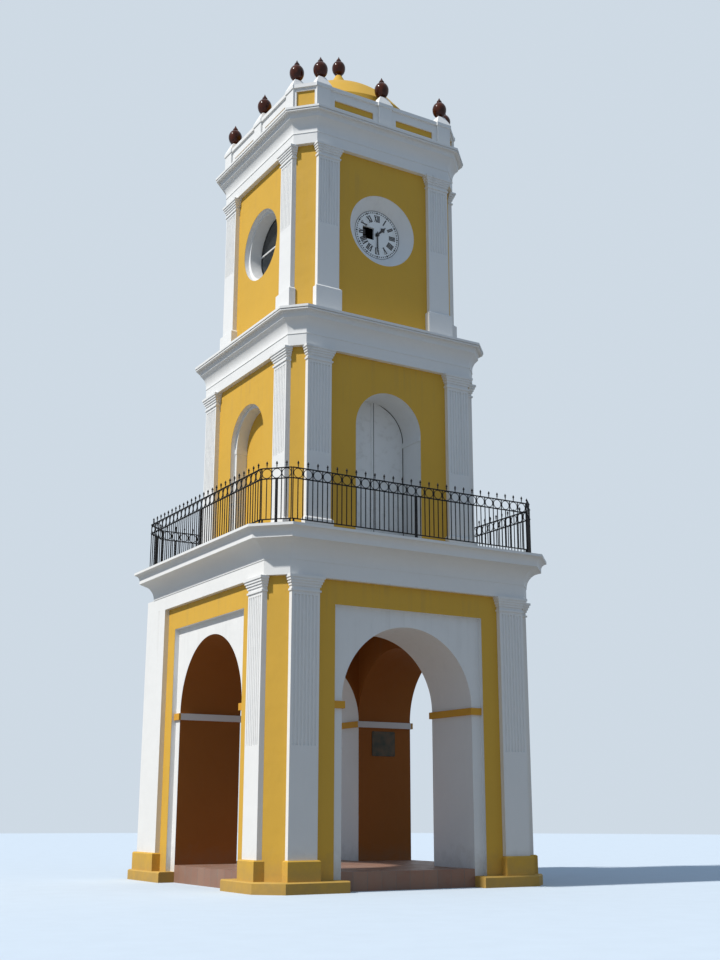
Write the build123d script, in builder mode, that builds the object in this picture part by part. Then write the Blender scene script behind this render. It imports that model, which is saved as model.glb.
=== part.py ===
from build123d import *
import os
from math import sqrt

# A clock tower of plastered masonry: an open ground storey on four arches, a balcony with an iron
# railing, a room with a balcony door, a clock storey with round openings, and a low dome behind a
# parapet. Millimetres. The origin is on the ground at the middle of the plan, +Z is up and the
# clock faces -Y. Every storey is a square plan with its corners cut off at 45 degrees.

# Plan of each storey: wall face from the middle of the tower, leg of the cut corner, wall thickness
wall_half = {1: 2900.0, 2: 2150.0, 3: 1940.0}
corner_cut = {1: 295.0, 2: 215.0, 3: 310.0}
wall_thickness = {2: 720.0, 3: 500.0}

# Rise of each storey's wall, of its architrave and of its cornice
wall_rise = {2: 3920.0, 3: 3900.0}
architrave_rise = {1: 280.0, 2: 240.0, 3: 240.0}
cornice_rise = {1: 590.0, 2: 520.0, 3: 510.0}

# Paving, and the plinth under each pier
ground_floor_top = 330.0
course_top = 200.0
plinth_top = 550.0
plinth_projection = 60.0
course_projection = 130.0

# Ground arches, in a sunk panel on each side
arch_radius = 1445.0
arch_spring = 3290.0
panel_margin = 205.0
panel_head = 295.0
panel_recess = 100.0
wall_head = 450.0
impost_height = 130.0
impost_projection = 45.0

# Pilasters: two at the ends of each side of each storey
pilaster_projection = 100.0
pilaster_width = {1: 575.0, 2: 540.0, 3: 510.0}
base_height = {1: 0.0, 2: 450.0, 3: 690.0}
base_projection = 45.0
base_bevel = 40.0
capital_height = 190.0
capital_projection = 75.0
capital_steps = 4
necking_height = 60.0
astragal_height = 35.0
astragal_projection = 22.0
flute_count = 7
flute_radius = 22.0
flute_share = {1: 0.58, 2: 0.58, 3: 0.51}
flute_head = 60.0
strip_width = 1000.0

# Architraves and cornices: reach of the cornice past the pilasters, and its mouldings
cornice_reach = {1: 420.0, 2: 240.0, 3: 240.0}
top_edge_height = 50.0
cyma_height = {1: 130.0, 2: 90.0, 3: 90.0}
cyma_reach = 110.0
fascia_height = 60.0
slab_thickness = 250.0
cove_lip = 12.0
moulding_sag = 0.3

# Balcony door and blind niches of the second storey
doorway_half = 775.0
doorway_rise = 2490.0
door_thickness = 50.0
door_gap = 6.0
niche_depth = 350.0

# Clock storey: one dial and three glazed round openings
round_radius = 800.0
round_rise = 2320.0
dial_setback = 220.0
dial_radius = 560.0
dial_thickness = 50.0
dial_rebate = 5.0
dial_hole_size = 280.0
dial_hole_offset = 218.0
ring_thickness = 80.0
ring_setback = 8.0
ring_lip = 10.0
glass_setback = 400.0
glass_thickness = 12.0
sash_width = 50.0
sash_thickness = 60.0

# Clock hands on their arbor, which turn clockwise for someone in front of the clock
arbor_radius = 14.0
bore_clearance = 0.4
hand_thickness = 6.0
hand_gap = 8.0
hub_radius = 45.0
minute_length = 355.0
minute_width = 34.0
minute_angle = 180.0
hour_length = 305.0
hour_width = 54.0
hour_angle = 45.0
tail_share = 0.2
tail_taper = 0.5
point_share = 1.5
leaf_width = 120.0
leaf_height = 190.0
leaf_foot_share = 0.7
cap_clearance = 2.0
cap_radius = 30.0
cap_thickness = 14.0

# Railing round the balcony
rail_inset = 300.0
rail_height = 1100.0
frieze_height = 200.0
rail_width = 36.0
rail_thickness = 16.0
bottom_rail_height = 140.0
rail_gap = 1.0
bar_size = 16.0
post_size = 45.0
foot_size = 30.0
spike_height = 130.0
ring_pitch = 208.0
ring_wire = 15.0

# Parapet with pedestals, and the dome
parapet_setback = 240.0
parapet_cut = 330.0
parapet_thickness = 240.0
parapet_height = 560.0
pedestal_width = 330.0
pedestal_projection = 45.0
coping_height = 80.0
coping_projection = 40.0
cap_projection = 20.0
cap_rise = 220.0
cap_top_size = 170.0
sunk_margin = 125.0
sunk_foot = 200.0
sunk_height = 165.0
corner_sunk_margin = 30.0
corner_sunk_foot = 60.0
corner_sunk_height = 430.0
sunk_depth = 35.0
drum_clearance = 40.0
drum_height = 1030.0
eaves_width = 265.0
eaves_rise = 315.0
dome_rise = 720.0
dome_shell = 150.0
cone_height = 430.0
cone_radius = 320.0
cone_tip_radius = 75.0

# Glazed finials
finial_radius = 165.0
finial_foot_radius = 75.0
finial_foot_height = 45.0
finial_neck_radius = 55.0
finial_widest = 205.0
finial_collar_height = 400.0
finial_collar_radius = 45.0
finial_knob_radius = 35.0
finial_height = 540.0

SIDES = {"front": 0, "right": 90, "back": 180, "left": 270}
os.makedirs("parts", exist_ok=True)

# Sizes that follow from the ones above
panel_half = arch_radius + panel_margin
panel_top = arch_spring + arch_radius + panel_head
wall_rise[1] = panel_top + wall_head
wall_inner = {1: arch_radius}
corner_edge = {}
architrave_bottom = {}
architrave_top = {}
cornice_top = {0: 0.0}
for storey in (1, 2, 3):
    corner_edge[storey] = wall_half[storey] - corner_cut[storey]
    architrave_bottom[storey] = cornice_top[storey - 1] + wall_rise[storey]
    architrave_top[storey] = architrave_bottom[storey] + architrave_rise[storey]
    cornice_top[storey] = architrave_top[storey] + cornice_rise[storey]
    if storey > 1:
        wall_inner[storey] = wall_half[storey] - wall_thickness[storey]
doorway_spring = cornice_top[1] + doorway_rise
round_height = cornice_top[2] + round_rise
parapet_half = wall_half[3] + pilaster_projection + cornice_reach[3] - parapet_setback
parapet_edge = parapet_half - parapet_cut
drum_radius = parapet_half - parapet_thickness - pedestal_projection - drum_clearance


def save(part, name):
    part.label = name
    export_step(part, f"parts/{name}.step")


def corner_leg(half, edge, reach=0.0):
    """Leg of the cut corner of a square plan that lies `reach` outside the given one."""
    return half - edge + (2 - sqrt(2)) * reach


def plan_points(half, edge, reach=0.0):
    """Corners of a square plan with cut corners that lies `reach` outside the given one."""
    outer = half + reach
    inner = outer - corner_leg(half, edge, reach)
    return [(-inner, -outer), (inner, -outer), (outer, -inner), (outer, inner),
            (inner, outer), (-inner, outer), (-outer, inner), (-outer, -inner)]


def plan(half, edge, reach=0.0, mode=Mode.ADD):
    """Face of such a plan, for use inside a BuildSketch."""
    Polygon(*plan_points(half, edge, reach), align=None, mode=mode)


# Ground floor: the cross-shaped paving under the arches
pier_face = wall_half[1] - panel_recess
with BuildPart() as ground_floor:
    with BuildSketch():
        Rectangle(2 * arch_radius, 2 * pier_face)
        Rectangle(2 * pier_face, 2 * arch_radius)
    extrude(amount=ground_floor_top)
save(ground_floor.part, "ground_floor")

# Corner piers: each carries the sunk panels of two arches and stands on its plinth
with BuildPart() as piers:
    with BuildSketch(Plane.XY.offset(plinth_top)):
        plan(wall_half[1], corner_edge[1])
        Rectangle(2 * arch_radius, 2 * wall_half[1], mode=Mode.SUBTRACT)
        Rectangle(2 * wall_half[1], 2 * arch_radius, mode=Mode.SUBTRACT)
    extrude(amount=architrave_bottom[1] - plinth_top)
    with BuildSketch(Plane.XY.offset(plinth_top)):
        Rectangle(2 * panel_half, 2 * wall_half[1])
        Rectangle(2 * wall_half[1], 2 * panel_half)
        Rectangle(2 * pier_face, 2 * pier_face, mode=Mode.SUBTRACT)
    extrude(amount=panel_top - plinth_top, mode=Mode.SUBTRACT)
save(piers.part, "piers")

# Plinths: a low course and a taller block round the outside of each pier
with BuildPart() as plinth_ring:
    with BuildSketch():
        plan(wall_half[1], corner_edge[1], pilaster_projection + course_projection)
    extrude(amount=course_top)
    with BuildSketch(Plane.XY.offset(course_top)):
        plan(wall_half[1], corner_edge[1], pilaster_projection + plinth_projection)
    extrude(amount=plinth_top - course_top)
    with BuildSketch():
        Rectangle(2 * arch_radius, 4 * wall_half[1])
        Rectangle(4 * wall_half[1], 2 * arch_radius)
    extrude(amount=plinth_top, mode=Mode.SUBTRACT)
    with BuildSketch(Plane.XY.offset(course_top)):
        Rectangle(2 * panel_half, 4 * wall_half[1])
        Rectangle(4 * wall_half[1], 2 * panel_half)
        Rectangle(2 * pier_face, 2 * pier_face, mode=Mode.SUBTRACT)
    extrude(amount=plinth_top - course_top, mode=Mode.SUBTRACT)
save(plinth_ring.part, "plinths")

# Arch heads: masonry over each arch between two piers, up to the architrave
arch_thickness = pier_face - wall_inner[1]
for name, turn in SIDES.items():
    side = Plane.XY.rotated((0, 0, turn))
    front = Plane(side.from_local_coords((0, -pier_face, 0)), x_dir=side.x_dir, z_dir=-side.y_dir)
    with BuildPart() as head:
        with BuildSketch(front):
            with Locations((0, arch_spring)):
                Rectangle(2 * arch_radius, architrave_bottom[1] - arch_spring, align=(Align.CENTER, Align.MIN))
                Circle(arch_radius, mode=Mode.SUBTRACT)
        extrude(amount=-arch_thickness)
        with BuildSketch(front):
            with Locations((0, panel_top)):
                Rectangle(2 * arch_radius, architrave_bottom[1] - panel_top, align=(Align.CENTER, Align.MIN))
        extrude(amount=panel_recess)
    save(head.part, f"arch_{name}")

# Imposts: a band at the springing round the inner faces and sunk panels of each pier
impost_half = pier_face + impost_projection
with BuildPart() as imposts:
    with BuildSketch(Plane.XY.offset(arch_spring - impost_height)):
        Rectangle(2 * panel_half, 2 * impost_half)
        Rectangle(2 * impost_half, 2 * panel_half)
        passage = 2 * (arch_radius - impost_projection)
        Rectangle(passage, 2 * impost_half, mode=Mode.SUBTRACT)
        Rectangle(2 * impost_half, passage, mode=Mode.SUBTRACT)
        with GridLocations(pier_face + arch_radius, pier_face + arch_radius, 2, 2):
            Rectangle(pier_face - arch_radius, pier_face - arch_radius, mode=Mode.SUBTRACT)
    extrude(amount=impost_height)
save(imposts.part, "imposts")

# Back left corner of the ground storey: a plain square-cut strip, with no capital and no cut corner
strip_corner = (-wall_half[1] - pilaster_projection, wall_half[1] + pilaster_projection)
with BuildPart() as corner_strip:
    with BuildSketch(Plane.XY.offset(plinth_top)):
        with Locations(strip_corner):
            Rectangle(strip_width, strip_width, align=(Align.MIN, Align.MAX))
        plan(wall_half[1], corner_edge[1], mode=Mode.SUBTRACT)
    extrude(amount=architrave_bottom[1] - plinth_top)
save(corner_strip.part, "corner_strip")


def make_pilaster(storey):
    """Pilaster against a wall at y = 0: bevelled base, fluted shaft, astragal and stepped capital."""
    width = pilaster_width[storey]
    foot = plinth_top if storey == 1 else cornice_top[storey - 1]
    head = architrave_bottom[storey]
    capital_foot = head - capital_height
    astragal_foot = capital_foot - necking_height - astragal_height
    flute_top = astragal_foot - flute_head
    flute_length = flute_share[storey] * (flute_top - foot - base_height[storey])
    step_height = capital_height / capital_steps
    bands = [(foot, head, 0), (astragal_foot, astragal_foot + astragal_height, astragal_projection)]
    for step in range(capital_steps):
        band_foot = capital_foot + step * step_height
        bands.append((band_foot, band_foot + step_height, capital_projection * (step + 1) / capital_steps))
    with BuildPart() as pilaster:
        if base_height[storey] > 0:
            with BuildSketch(Plane.XY.offset(foot)):
                Rectangle(width + 2 * base_projection, pilaster_projection + base_projection,
                          align=(Align.CENTER, Align.MAX))
            extrude(amount=base_height[storey])
            rim = pilaster.faces().sort_by(Axis.Z)[-1].edges().sort_by(Axis.Y)
            chamfer(rim[:-1], length=base_bevel)
        for band_foot, band_top, reach in bands:
            with BuildSketch(Plane.XY.offset(band_foot)):
                Rectangle(width + 2 * reach, pilaster_projection + reach, align=(Align.CENTER, Align.MAX))
            extrude(amount=band_top - band_foot)
        with BuildSketch(Plane.XY.offset(flute_top - flute_length)):
            with Locations((0, -pilaster_projection)):
                with GridLocations(width / (flute_count + 1), 1, flute_count, 1):
                    Circle(flute_radius)
        extrude(amount=flute_length, mode=Mode.SUBTRACT)
    return pilaster.part


for storey in (1, 2, 3):
    pilaster = make_pilaster(storey)
    centre = corner_edge[storey] - pilaster_width[storey] / 2
    with BuildPart() as row:
        for name, turn in SIDES.items():
            places = [(-centre, -wall_half[storey], 0), (centre, -wall_half[storey], 0)]
            if storey == 1 and name == "left":
                places = places[1:]
            if storey == 1 and name == "back":
                places = places[:1]
            with Locations(Location((0, 0, 0), (0, 0, turn))):
                with Locations(*places):
                    add(pilaster)
    save(row.part, f"pilasters_{storey}")


def make_architrave(storey):
    """Band in the pilasters' face all round the storey, and over the square-cut strip."""
    with BuildPart() as architrave:
        with BuildSketch(Plane.XY.offset(architrave_bottom[storey])):
            plan(wall_half[storey], corner_edge[storey], pilaster_projection)
            if storey == 1:
                with Locations(strip_corner):
                    Rectangle(strip_width, strip_width, align=(Align.MIN, Align.MAX))
            Rectangle(2 * wall_inner[storey], 2 * wall_inner[storey], mode=Mode.SUBTRACT)
        extrude(amount=architrave_top[storey] - architrave_bottom[storey])
    return architrave.part


def make_cornice(storey):
    """Floor slab whose edge sweeps out in a cove, a fascia, a cyma and a thin top edge."""
    half, edge = wall_half[storey], corner_edge[storey]
    foot, top = architrave_top[storey], cornice_top[storey]
    reach = cornice_reach[storey]
    cyma_foot = top - top_edge_height - cyma_height[storey]
    fascia_foot = cyma_foot - fascia_height
    fascia_reach = reach - cyma_reach
    rest = 1 - moulding_sag
    cove_hollow = (cove_lip + moulding_sag * (fascia_reach - cove_lip), foot + rest * (fascia_foot - foot))
    cyma_hollow = (reach - rest * cyma_reach, cyma_foot + rest * cyma_height[storey])
    profile_plane = Plane((0, -half - pilaster_projection, 0), x_dir=(0, -1, 0), z_dir=(-1, 0, 0))
    with BuildPart() as cornice:
        with BuildLine() as round_tower:
            Polyline(*plan_points(half, edge, pilaster_projection), close=True)
        with BuildSketch(profile_plane):
            with BuildLine():
                Line((0, foot), (cove_lip, foot))
                ThreePointArc((cove_lip, foot), cove_hollow, (fascia_reach, fascia_foot))
                Line((fascia_reach, fascia_foot), (fascia_reach, cyma_foot))
                ThreePointArc((fascia_reach, cyma_foot), cyma_hollow, (reach, top - top_edge_height))
                Polyline((reach, top - top_edge_height), (reach, top), (0, top), (0, foot))
            make_face()
        sweep(path=round_tower.wires()[0], transition=Transition.RIGHT)
        with BuildSketch(Plane.XY.offset(foot)):
            plan(half, edge, pilaster_projection)
        extrude(amount=top - foot)
        with BuildSketch(Plane.XY.offset(foot)):
            Rectangle(2 * wall_inner[storey], 2 * wall_inner[storey])
        extrude(amount=top - foot - slab_thickness, mode=Mode.SUBTRACT)
    return cornice.part


for storey in (1, 2, 3):
    save(make_architrave(storey), f"architrave_{storey}")
    save(make_cornice(storey), f"cornice_{storey}")


def doorway():
    """Round-headed outline of the balcony doorway and the niches, for use inside a BuildSketch."""
    with Locations((0, doorway_spring)):
        Circle(doorway_half)
        Rectangle(2 * doorway_half, doorway_spring - cornice_top[1], align=(Align.CENTER, Align.MAX))


def make_wall(storey, name, turn):
    """One mitred side of an upper storey, cut for its door, niche or round opening."""
    half, edge, inner = wall_half[storey], corner_edge[storey], wall_inner[storey]
    foot = cornice_top[storey - 1]
    side = Plane.XY.rotated((0, 0, turn))
    face = Plane(side.from_local_coords((0, -half, 0)), x_dir=side.x_dir, z_dir=-side.y_dir)
    with BuildPart() as wall:
        with BuildSketch(side.offset(foot)):
            plan(half, edge)
            Rectangle(2 * inner, 2 * inner, mode=Mode.SUBTRACT)
            Polygon((0, 0), (-half, -half), (half, -half), align=None, mode=Mode.INTERSECT)
        extrude(amount=architrave_bottom[storey] - foot)
        with BuildSketch(face):
            if storey == 2:
                doorway()
            else:
                with Locations((0, round_height)):
                    Circle(round_radius)
        blind = storey == 2 and name != "front"
        extrude(amount=-niche_depth if blind else inner - half, mode=Mode.SUBTRACT)
    return wall.part


for storey in (2, 3):
    for name, turn in SIDES.items():
        save(make_wall(storey, name, turn), f"wall_{storey}_{name}")

# Balcony doors: two leaves that fill the arched doorway deep in the wall
door_face = Plane((0, -wall_inner[2] - door_thickness, 0), x_dir=(1, 0, 0), z_dir=(0, -1, 0))
for name, hand in (("left", -1), ("right", 1)):
    with BuildPart() as leaf:
        with BuildSketch(door_face):
            doorway()
            with Locations((hand * (doorway_half + door_gap / 2), doorway_spring)):
                Rectangle(2 * doorway_half, 2 * doorway_spring, mode=Mode.INTERSECT)
        extrude(amount=-door_thickness)
    save(leaf.part, f"door_leaf_{name}")

# Clock dial: seated in a ring that splays out to the edge of the round opening, with a square hole
dial_plane = Plane((0, dial_setback - wall_half[3], round_height), x_dir=(1, 0, 0), z_dir=(0, -1, 0))
dial_face = dial_plane.offset(-dial_rebate)
ring_face = dial_plane.offset(dial_setback - ring_setback)
with BuildPart() as dial_ring:
    with BuildSketch(ring_face):
        Circle(round_radius)
    extrude(amount=ring_setback - dial_setback - ring_thickness)
    with BuildSketch(ring_face):
        Circle(round_radius - ring_lip)
    with BuildSketch(dial_plane):
        Circle(dial_radius)
    loft(mode=Mode.SUBTRACT)
    with BuildSketch(dial_plane):
        Circle(dial_radius)
    extrude(amount=-ring_thickness, mode=Mode.SUBTRACT)
save(dial_ring.part, "dial_ring")
with BuildPart() as dial:
    with BuildSketch(dial_face):
        Circle(dial_radius)
        with Locations((-dial_hole_offset, 0)):
            Rectangle(dial_hole_size, dial_hole_size, mode=Mode.SUBTRACT)
    extrude(amount=-dial_thickness)
save(dial.part, "dial")

# Arbor, with the cap that keeps both hands on it
hour_plane = dial_face.offset(hand_gap)
minute_plane = hour_plane.offset(hand_thickness + hand_gap)
cap_plane = minute_plane.offset(hand_thickness + cap_clearance)
with BuildPart() as arbor:
    with BuildSketch(dial_face):
        Circle(arbor_radius)
    extrude(amount=2 * hand_gap + 2 * hand_thickness + cap_clearance)
    with BuildSketch(cap_plane):
        Circle(cap_radius)
    extrude(amount=cap_thickness)
save(arbor.part, "arbor")


def make_hand(plane, length, width, leaf):
    """Tapered blade with a tail, pointing up, round a bored hub, with a leaf of a given half width."""
    shoulder = length - point_share * width
    tail = tail_share * length
    tail_half = tail_taper * width / 2
    with BuildPart() as hand:
        with BuildSketch(plane):
            Circle(hub_radius)
            Polygon((-tail_half, -tail), (-width / 2, shoulder), (0, length), (width / 2, shoulder),
                    (tail_half, -tail), align=None)
            if leaf > 0:
                with BuildLine():
                    for side in (-1, 1):
                        Line((0, leaf_foot_share * leaf_height), (side * leaf, leaf_height))
                        RadiusArc((side * leaf, leaf_height), (0, length), side * leaf_height)
                make_face()
            Circle(arbor_radius + bore_clearance, mode=Mode.SUBTRACT)
        extrude(amount=hand_thickness)
    return hand.part


clock_axis = Axis((0, 0, round_height), (0, 1, 0))
minute_hand = make_hand(minute_plane, minute_length, minute_width, 0)
hour_hand = make_hand(hour_plane, hour_length, hour_width, leaf_width / 2)
save(minute_hand.rotate(clock_axis, minute_angle), "minute_hand")
save(hour_hand.rotate(clock_axis, hour_angle), "hour_hand")

# Round windows on the other three sides: dark glass in a sash
window_seats = {}
for name in ("right", "back", "left"):
    side = Plane.XY.rotated((0, 0, SIDES[name]))
    seat = side.from_local_coords((0, glass_setback - wall_half[3], round_height))
    window_seats[name] = Plane(seat, x_dir=side.x_dir, z_dir=-side.y_dir)
with BuildPart() as window_glass:
    for seat in window_seats.values():
        with BuildSketch(seat):
            Circle(round_radius - sash_width)
        extrude(amount=glass_thickness / 2, both=True)
save(window_glass.part, "window_glass")
with BuildPart() as window_sashes:
    for seat in window_seats.values():
        with BuildSketch(seat):
            Circle(round_radius)
            Circle(round_radius - sash_width, mode=Mode.SUBTRACT)
        extrude(amount=sash_thickness / 2, both=True)
save(window_sashes.part, "window_sashes")

# Railing line on the balcony
rail_half = wall_half[1] + pilaster_projection + cornice_reach[1] - rail_inset
rail_leg = corner_leg(wall_half[1], corner_edge[1], rail_half - wall_half[1])
rail_edge = rail_half - rail_leg
frieze_foot = rail_height - frieze_height
ring_room = frieze_height - rail_thickness
rail_trim = rail_width * (sqrt(2) - 1) + rail_gap


def make_panel(plane, length):
    """Railing panel in a plane whose x runs along it and whose y is up, on a post and two feet."""
    rings = max(1, round(length / ring_pitch))
    pitch = (length - bar_size) / rings
    with BuildPart() as panel:
        with BuildSketch(plane):
            with Locations((0, bottom_rail_height), (0, frieze_foot), (0, rail_height)):
                Rectangle(length, rail_thickness, align=(Align.CENTER, Align.MAX))
        extrude(amount=rail_width / 2, both=True)
        with BuildSketch(plane):
            with GridLocations(pitch / 2, 1, 2 * rings + 1, 1):
                with Locations((0, bottom_rail_height)):
                    Rectangle(bar_size, frieze_foot - bottom_rail_height, align=(Align.CENTER, Align.MIN))
            with GridLocations(pitch, 1, rings + 1, 1):
                with Locations((0, frieze_foot)):
                    Rectangle(bar_size, ring_room, align=(Align.CENTER, Align.MIN))
            with GridLocations(pitch, 1, rings, 1):
                with Locations((0, rail_height)):
                    Rectangle(bar_size, spike_height, align=(Align.CENTER, Align.MIN))
        extrude(amount=bar_size / 2, both=True)
        with BuildSketch(plane):
            with GridLocations(pitch, 1, rings, 1):
                with Locations((0, frieze_foot + ring_room / 2)):
                    Circle(ring_room / 2 + ring_wire / 4)
                    Circle(ring_room / 2 - ring_wire, mode=Mode.SUBTRACT)
        extrude(amount=ring_wire / 2, both=True)
        with BuildSketch(plane):
            Rectangle(post_size, frieze_foot, align=(Align.CENTER, Align.MIN))
            with GridLocations(length - foot_size, 1, 2, 1):
                Rectangle(foot_size, bottom_rail_height, align=(Align.CENTER, Align.MIN))
        extrude(amount=foot_size / 2, both=True)
    return panel.part


for name, turn in SIDES.items():
    side = Plane.XY.rotated((0, 0, turn))
    stand = side.from_local_coords((0, -rail_half, cornice_top[1]))
    line = Plane(stand, x_dir=side.x_dir, z_dir=-side.y_dir)
    save(make_panel(line, 2 * rail_edge - rail_trim), f"railing_{name}")
with BuildPart() as railing_corners:
    for turn in SIDES.values():
        corner = Plane.XY.rotated((0, 0, turn + 45))
        stand = corner.from_local_coords((0, -(rail_half + rail_edge) / sqrt(2), cornice_top[1]))
        line = Plane(stand, x_dir=corner.x_dir, z_dir=-corner.y_dir)
        add(make_panel(line, sqrt(2) * rail_leg - rail_trim))
save(railing_corners.part, "railing_corners")

# Parapet: wall with sunk panels, coping, and twelve pedestals with hipped caps that pass through both
roof = cornice_top[3]
cap_foot = roof + parapet_height + coping_height
pedestal_centre = parapet_edge - pedestal_width / 2
pedestal_depth = parapet_thickness + 2 * pedestal_projection
pedestal_places = []
for turn in SIDES.values():
    for x in (-pedestal_centre, 0, pedestal_centre):
        spot = Vector(x, parapet_thickness / 2 - parapet_half, 0).rotate(Axis.Z, turn)
        pedestal_places.append(Location((spot.X, spot.Y, 0), (0, 0, turn)))


def pedestal_feet(extra=0.0, mode=Mode.ADD):
    """Plans of all pedestals, for use inside a BuildSketch."""
    with Locations(*pedestal_places):
        Rectangle(pedestal_width + 2 * extra, pedestal_depth + 2 * extra, mode=mode)


with BuildPart() as parapet_wall:
    with BuildSketch(Plane.XY.offset(roof)):
        plan(parapet_half, parapet_edge)
        plan(parapet_half, parapet_edge, -parapet_thickness, mode=Mode.SUBTRACT)
        pedestal_feet(mode=Mode.SUBTRACT)
    extrude(amount=parapet_height)
    sunk_length = pedestal_centre - pedestal_width - 2 * sunk_margin
    for turn in SIDES.values():
        side = Plane.XY.rotated((0, 0, turn))
        spot = side.from_local_coords((0, -parapet_half, roof + sunk_foot + sunk_height / 2))
        with BuildSketch(Plane(spot, x_dir=side.x_dir, z_dir=-side.y_dir)):
            with GridLocations(pedestal_centre, 1, 2, 1):
                Rectangle(sunk_length, sunk_height)
        extrude(amount=-sunk_depth, mode=Mode.SUBTRACT)
        corner = Plane.XY.rotated((0, 0, turn + 45))
        distance = (parapet_half + parapet_edge) / sqrt(2)
        spot = corner.from_local_coords((0, -distance, roof + corner_sunk_foot + corner_sunk_height / 2))
        with BuildSketch(Plane(spot, x_dir=corner.x_dir, z_dir=-corner.y_dir)):
            corner_length = sqrt(2) * (parapet_half - parapet_edge) - 2 * corner_sunk_margin
            Rectangle(corner_length, corner_sunk_height)
        extrude(amount=-sunk_depth, mode=Mode.SUBTRACT)
save(parapet_wall.part, "parapet_wall")
with BuildPart() as parapet_coping:
    with BuildSketch(Plane.XY.offset(roof + parapet_height)):
        plan(parapet_half, parapet_edge, coping_projection)
        plan(parapet_half, parapet_edge, -parapet_thickness - coping_projection, mode=Mode.SUBTRACT)
        pedestal_feet(cap_projection, mode=Mode.SUBTRACT)
    extrude(amount=coping_height)
save(parapet_coping.part, "parapet_coping")
with BuildPart() as pedestals:
    with BuildSketch(Plane.XY.offset(roof)):
        pedestal_feet()
    extrude(amount=parapet_height)
    with BuildSketch(Plane.XY.offset(roof + parapet_height)):
        pedestal_feet(cap_projection)
    extrude(amount=coping_height)
    for place in pedestal_places:
        with BuildSketch(Plane(place).offset(cap_foot)):
            Rectangle(pedestal_width + 2 * cap_projection, pedestal_depth + 2 * cap_projection)
        with BuildSketch(Plane(place).offset(cap_foot + cap_rise)):
            Rectangle(cap_top_size, cap_top_size)
        loft()
save(pedestals.part, "pedestals")

# Dome: a shallow masonry cap over straight eaves on a drum, hollow inside, with a cone for its finial
cap_radius_foot = drum_radius - eaves_width
cap_base = roof + drum_height + eaves_rise
cap_sphere = (cap_radius_foot**2 + dome_rise**2) / (2 * dome_rise)
cap_centre = cap_base + dome_rise - cap_sphere
cone_foot = cap_centre + sqrt(cap_sphere**2 - cone_radius**2)
cone_top = cap_base + dome_rise + cone_height
shell_sphere = cap_sphere - dome_shell
shell_foot_radius = cap_radius_foot - dome_shell
shell_base = cap_centre + sqrt(shell_sphere**2 - shell_foot_radius**2)
shell_radius = drum_radius - dome_shell
with BuildPart() as dome:
    with BuildSketch(Plane.XZ):
        with BuildLine():
            Polyline((shell_foot_radius, shell_base), (shell_radius, roof + drum_height - dome_shell),
                     (shell_radius, roof), (drum_radius, roof), (drum_radius, roof + drum_height),
                     (cap_radius_foot, cap_base))
            RadiusArc((cap_radius_foot, cap_base), (cone_radius, cone_foot), -cap_sphere)
            Polyline((cone_radius, cone_foot), (cone_tip_radius, cone_top), (0, cone_top),
                     (0, cap_centre + shell_sphere))
            RadiusArc((0, cap_centre + shell_sphere), (shell_foot_radius, shell_base), shell_sphere)
        make_face()
    revolve(axis=Axis.Z)
save(dome.part, "dome")

# Finials: a foot, a round body that draws in to a collar, and a pointed knob, turned as one piece
with BuildPart() as finial:
    knob_middle = finial_collar_height + finial_knob_radius
    knob_top = knob_middle + finial_knob_radius
    with BuildSketch(Plane.XZ):
        with BuildLine():
            Polyline((0, 0), (finial_foot_radius, 0), (finial_neck_radius, finial_foot_height))
            Spline((finial_neck_radius, finial_foot_height), (finial_radius, finial_widest),
                   (finial_collar_radius, finial_collar_height), tangents=[(1, 0.2), (-1, 0.9)])
            Polyline((finial_collar_radius, finial_collar_height), (finial_knob_radius, knob_middle),
                     (finial_knob_radius / 2, knob_top), (0, finial_height), (0, 0))
        make_face()
    revolve(axis=Axis.Z)
finial_seat = cap_foot + cap_rise
with BuildPart() as finials:
    with Locations(*[(place.position.X, place.position.Y, finial_seat) for place in pedestal_places]):
        add(finial.part)
    with Locations((0, 0, cone_top)):
        add(finial.part)
save(finials.part, "finials")
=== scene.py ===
"""Dresses the clock tower: paint and finishes for its construction, and the fine pieces on it."""

from functools import partial
from math import pi, radians, sqrt

import bpy
import numpy as np
from bpy.props import FloatProperty, FloatVectorProperty, IntProperty, PointerProperty
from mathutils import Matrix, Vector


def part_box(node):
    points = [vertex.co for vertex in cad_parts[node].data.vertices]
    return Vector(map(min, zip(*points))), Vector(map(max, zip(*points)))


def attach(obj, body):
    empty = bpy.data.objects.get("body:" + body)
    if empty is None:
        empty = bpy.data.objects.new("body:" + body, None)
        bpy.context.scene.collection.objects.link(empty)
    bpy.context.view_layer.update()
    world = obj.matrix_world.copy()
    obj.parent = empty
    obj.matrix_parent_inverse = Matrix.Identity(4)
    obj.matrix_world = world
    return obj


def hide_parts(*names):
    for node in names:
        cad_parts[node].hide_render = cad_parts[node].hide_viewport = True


bl_info = {
    "name": "Clock Tower",
    "version": (1, 0, 0),
    "blender": (4, 5, 0),
    "location": "3D View > Sidebar > Clock Tower",
    "description": "Finishes and fine pieces of a plastered clock tower",
    "category": "Object",
}

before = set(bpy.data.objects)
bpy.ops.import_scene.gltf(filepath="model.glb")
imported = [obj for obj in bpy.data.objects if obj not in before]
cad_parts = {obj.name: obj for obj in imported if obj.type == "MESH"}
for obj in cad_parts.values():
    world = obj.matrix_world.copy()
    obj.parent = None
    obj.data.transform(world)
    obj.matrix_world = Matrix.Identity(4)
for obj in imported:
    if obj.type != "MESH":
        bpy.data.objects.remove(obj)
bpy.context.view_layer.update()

# Sides by the number of quarter turns about Z that bring the front's pieces to them
SIDES = ("front", "right", "back", "left")
# The sides that have a niche and a round window
NICHE_SIDES = (1, 2, 3)
# Quarter turns from the back right corner to the back left one, which is square on the ground storey
SQUARE_CORNER = 1

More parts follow.
